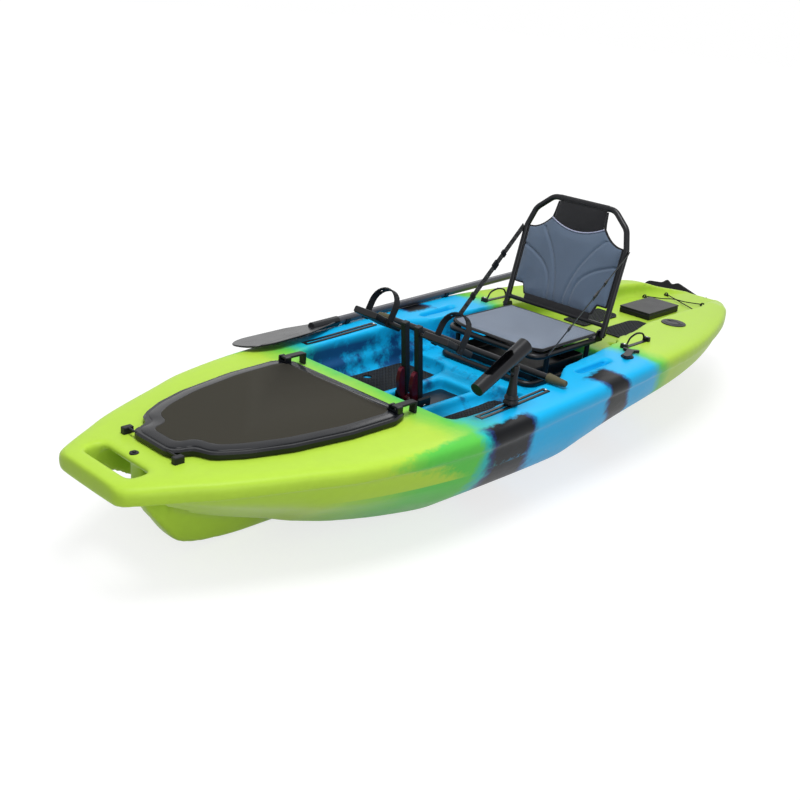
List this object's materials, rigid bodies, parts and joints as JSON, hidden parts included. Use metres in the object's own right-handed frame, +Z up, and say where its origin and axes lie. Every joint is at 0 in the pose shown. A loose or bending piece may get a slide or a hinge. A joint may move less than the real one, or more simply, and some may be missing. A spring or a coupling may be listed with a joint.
{
  "type": "pedal kayak",
  "caption": "Sit-on-top kayak with padded seat, pedal fin drive, stowed paddle, bow hatch, rod holder and rudder.",
  "frame": {"origin": "on the flat of the keel amidships, where the kayak stands on the ground", "axes": "+X towards the bow along the keel, +Y to port, +Z up square to the deck"},
  "size_m": [3.14, 1.0041, 0.8023],
  "materials": {
    "hull": "rotomoulded plastic in lime, green, blue and black zones, fine satin grain",
    "black_plastic": "injection moulded, satin",
    "deck_pad": "grooved foam traction pad, matt olive grey",
    "eva": "soft foam pad, matt black",
    "rubber": "soft rubber, matt",
    "red_alloy": "anodised dark red, satin",
    "steel": "stainless, satin",
    "dark_alloy": "black anodised, satin",
    "slate_fabric": "padded mesh fabric, slate blue with black panels",
    "pale_fabric": "padded mesh fabric, pale slate",
    "webbing": "woven strap, black",
    "olive_grip": "soft grip, olive brown",
    "pale_shaft": "smooth composite tube, pale lilac grey"
  },
  "bodies": {
    "hull": {"hull": "hull", "handle_base_port": "black_plastic", "handle_base_starboard": "black_plastic", "tank_box": "black_plastic", "pad_eye_port_front": "black_plastic", "pad_eye_port_rear": "black_plastic", "pad_eye_starboard_front": "black_plastic", "pad_eye_starboard_rear": "black_plastic", "seat_tray": "black_plastic", "paddle_blade_front": "black_plastic", "paddle_blade_rear": "black_plastic", "paddle_clip_front": "black_plastic", "paddle_clip_rear": "black_plastic", "rudder_bracket": "black_plastic", "footwell_pad_port": "eva", "footwell_pad_starboard": "eva", "tank_pad_port": "eva", "tank_pad_starboard": "eva", "crank_shaft": "steel", "hatch_hinge": "steel", "gear_track_port": "dark_alloy", "gear_track_starboard": "dark_alloy", "seat_base_frame": "dark_alloy", "drive_base": "dark_alloy", "thwart_bar": "dark_alloy", "seat_base_cushion": "pale_fabric", "seat_strap_port": "webbing", "seat_strap_starboard": "webbing", "thwart_grip_port": "olive_grip", "thwart_grip_starboard": "olive_grip", "paddle_shaft": "pale_shaft"},
    "bow_hatch": {"bow_hatch_lid": "black_plastic", "bow_hatch_pad": "deck_pad", "hatch_seal": "rubber"},
    "latch_lever_port": {"latch_lever_port": "black_plastic"},
    "latch_lever_starboard": {"latch_lever_starboard": "black_plastic"},
    "crank_port": {"crank_arm_port": "black_plastic", "crank_root_port": "red_alloy"},
    "crank_starboard": {"crank_arm_starboard": "black_plastic", "crank_root_starboard": "red_alloy"},
    "pedal_port": {"pedal_port": "black_plastic", "pedal_strap_port": "rubber"},
    "pedal_starboard": {"pedal_starboard": "black_plastic", "pedal_strap_starboard": "rubber"},
    "idler": {"idler_pulley": "dark_alloy"},
    "fin_front": {"fin_front": "rubber"},
    "fin_rear": {"fin_rear": "rubber"},
    "seat_back": {"seat_back_frame": "dark_alloy", "seat_back_cushion": "slate_fabric"},
    "side_handle_port": {"side_handle_port": "black_plastic"},
    "side_handle_starboard": {"side_handle_starboard": "black_plastic"},
    "disc_cover_port": {"disc_cover_port": "black_plastic"},
    "disc_cover_starboard": {"disc_cover_starboard": "black_plastic"},
    "tank_box_lid": {"tank_box_lid": "black_plastic"},
    "rod_holder_post": {"rod_holder_post": "black_plastic"},
    "rod_holder_cradle": {"rod_holder_cradle": "black_plastic"},
    "steering_lever": {"steering_lever": "black_plastic"},
    "rudder_head": {"rudder_head": "black_plastic"},
    "rudder_blade": {"rudder_blade": "black_plastic"}
  },
  "joints": [
    {"name": "bow_hatch_hinge", "type": "hinge", "parent": "hull", "child": "bow_hatch", "pos_m": [1.347, 0, 0.33824], "axis": [0, 1, 0], "range_deg": [0, 100]},
    {"name": "latch_port", "type": "hinge", "parent": "bow_hatch", "child": "latch_lever_port", "pos_m": [0.706, 0.238, 0.36462], "axis": [0, 1, 0], "range_deg": [0, 100]},
    {"name": "latch_starboard", "type": "hinge", "parent": "bow_hatch", "child": "latch_lever_starboard", "pos_m": [0.706, -0.238, 0.36462], "axis": [0, 1, 0], "range_deg": [0, 100]},
    {"name": "crank_port", "type": "hinge", "parent": "hull", "child": "crank_port", "pos_m": [0.365, 0.028, 0.223], "axis": [0, 1, 0], "range_deg": [-25, 25]},
    {"name": "pedal_port", "type": "hinge", "parent": "crank_port", "child": "pedal_port", "pos_m": [0.39868, 0.15, 0.46264], "axis": [0, 1, 0], "range_deg": [-30, 30]},
    {"name": "crank_starboard", "type": "hinge", "parent": "hull", "child": "crank_starboard", "pos_m": [0.365, -0.028, 0.223], "axis": [0, 1, 0], "range_deg": [-25, 25]},
    {"name": "pedal_starboard", "type": "hinge", "parent": "crank_starboard", "child": "pedal_starboard", "pos_m": [0.39868, -0.15, 0.46264], "axis": [0, 1, 0], "range_deg": [-30, 30]},
    {"name": "idler_turn", "type": "hinge", "parent": "hull", "child": "idler", "pos_m": [0.383, 0, 0.152], "axis": [1, 0, 0], "range_deg": [-18, 18]},
    {"name": "fin_front_swing", "type": "hinge", "parent": "hull", "child": "fin_front", "pos_m": [0.43525, 0, 0.052], "axis": [1, 0, 0], "range_deg": [0, 180]},
    {"name": "fin_rear_swing", "type": "hinge", "parent": "hull", "child": "fin_rear", "pos_m": [0.27475, 0, 0.052], "axis": [1, 0, 0], "range_deg": [-180, 0]},
    {"name": "seat_back_fold", "type": "hinge", "parent": "hull", "child": "seat_back", "pos_m": [-0.368, 0, 0.378], "axis": [0, 1, 0], "range_deg": [-12, 62], "deforming": ["seat_strap_port", "seat_strap_starboard"]},
    {"name": "side_handle_port_fold", "type": "hinge", "parent": "hull", "child": "side_handle_port", "pos_m": [-0.434, 0.314, 0.3677], "axis": [1, 0, 0], "range_deg": [-70, 70]},
    {"name": "side_handle_starboard_fold", "type": "hinge", "parent": "hull", "child": "side_handle_starboard", "pos_m": [-0.434, -0.314, 0.3677], "axis": [1, 0, 0], "range_deg": [-70, 70]},
    {"name": "disc_cover_port_twist", "type": "hinge", "parent": "hull", "child": "disc_cover_port", "pos_m": [-0.815, 0.249, 0.35179], "axis": [-0.0138, 0, 0.9999], "range_deg": [0, 90]},
    {"name": "disc_cover_starboard_twist", "type": "hinge", "parent": "hull", "child": "disc_cover_starboard", "pos_m": [-0.815, -0.249, 0.35179], "axis": [-0.0138, 0, 0.9999], "range_deg": [0, 90]},
    {"name": "tank_box_hinge", "type": "hinge", "parent": "hull", "child": "tank_box_lid", "pos_m": [-1.185, 0, 0.3106], "axis": [0, 1, 0], "range_deg": [-95, 0]},
    {"name": "rod_holder_swivel", "type": "hinge", "parent": "hull", "child": "rod_holder_post", "pos_m": [0.355, 0.376, 0.33818], "axis": [0, 0, 1], "range_deg": [-35, 100]},
    {"name": "rod_holder_tilt", "type": "hinge", "parent": "rod_holder_post", "child": "rod_holder_cradle", "pos_m": [0.355, 0.376, 0.45118], "axis": [0, 1, 0], "range_deg": [-40, 8]},
    {"name": "steering_turn", "type": "hinge", "parent": "hull", "child": "steering_lever", "pos_m": [-0.29, 0.372, 0.3572], "axis": [0.0211, 0, 0.9998], "range_deg": [-50, 50]},
    {"name": "rudder_steer", "type": "hinge", "parent": "hull", "child": "rudder_head", "pos_m": [-1.568, 0, 0.232], "axis": [0, 0, 1], "range_deg": [-30, 30]},
    {"name": "rudder_kick", "type": "hinge", "parent": "rudder_head", "child": "rudder_blade", "pos_m": [-1.5896, 0, 0.232], "axis": [1, 0, 0], "range_deg": [0, 95]}
  ],
  "couplings": [
    {"joint": "crank_starboard", "follows": "crank_port", "ratio": -1},
    {"joint": "idler_turn", "follows": "crank_port", "ratio": 0.6429},
    {"joint": "fin_rear_swing", "follows": "fin_front_swing", "ratio": -1},
    {"joint": "rudder_steer", "follows": "steering_turn", "ratio": 0.5}
  ]
}
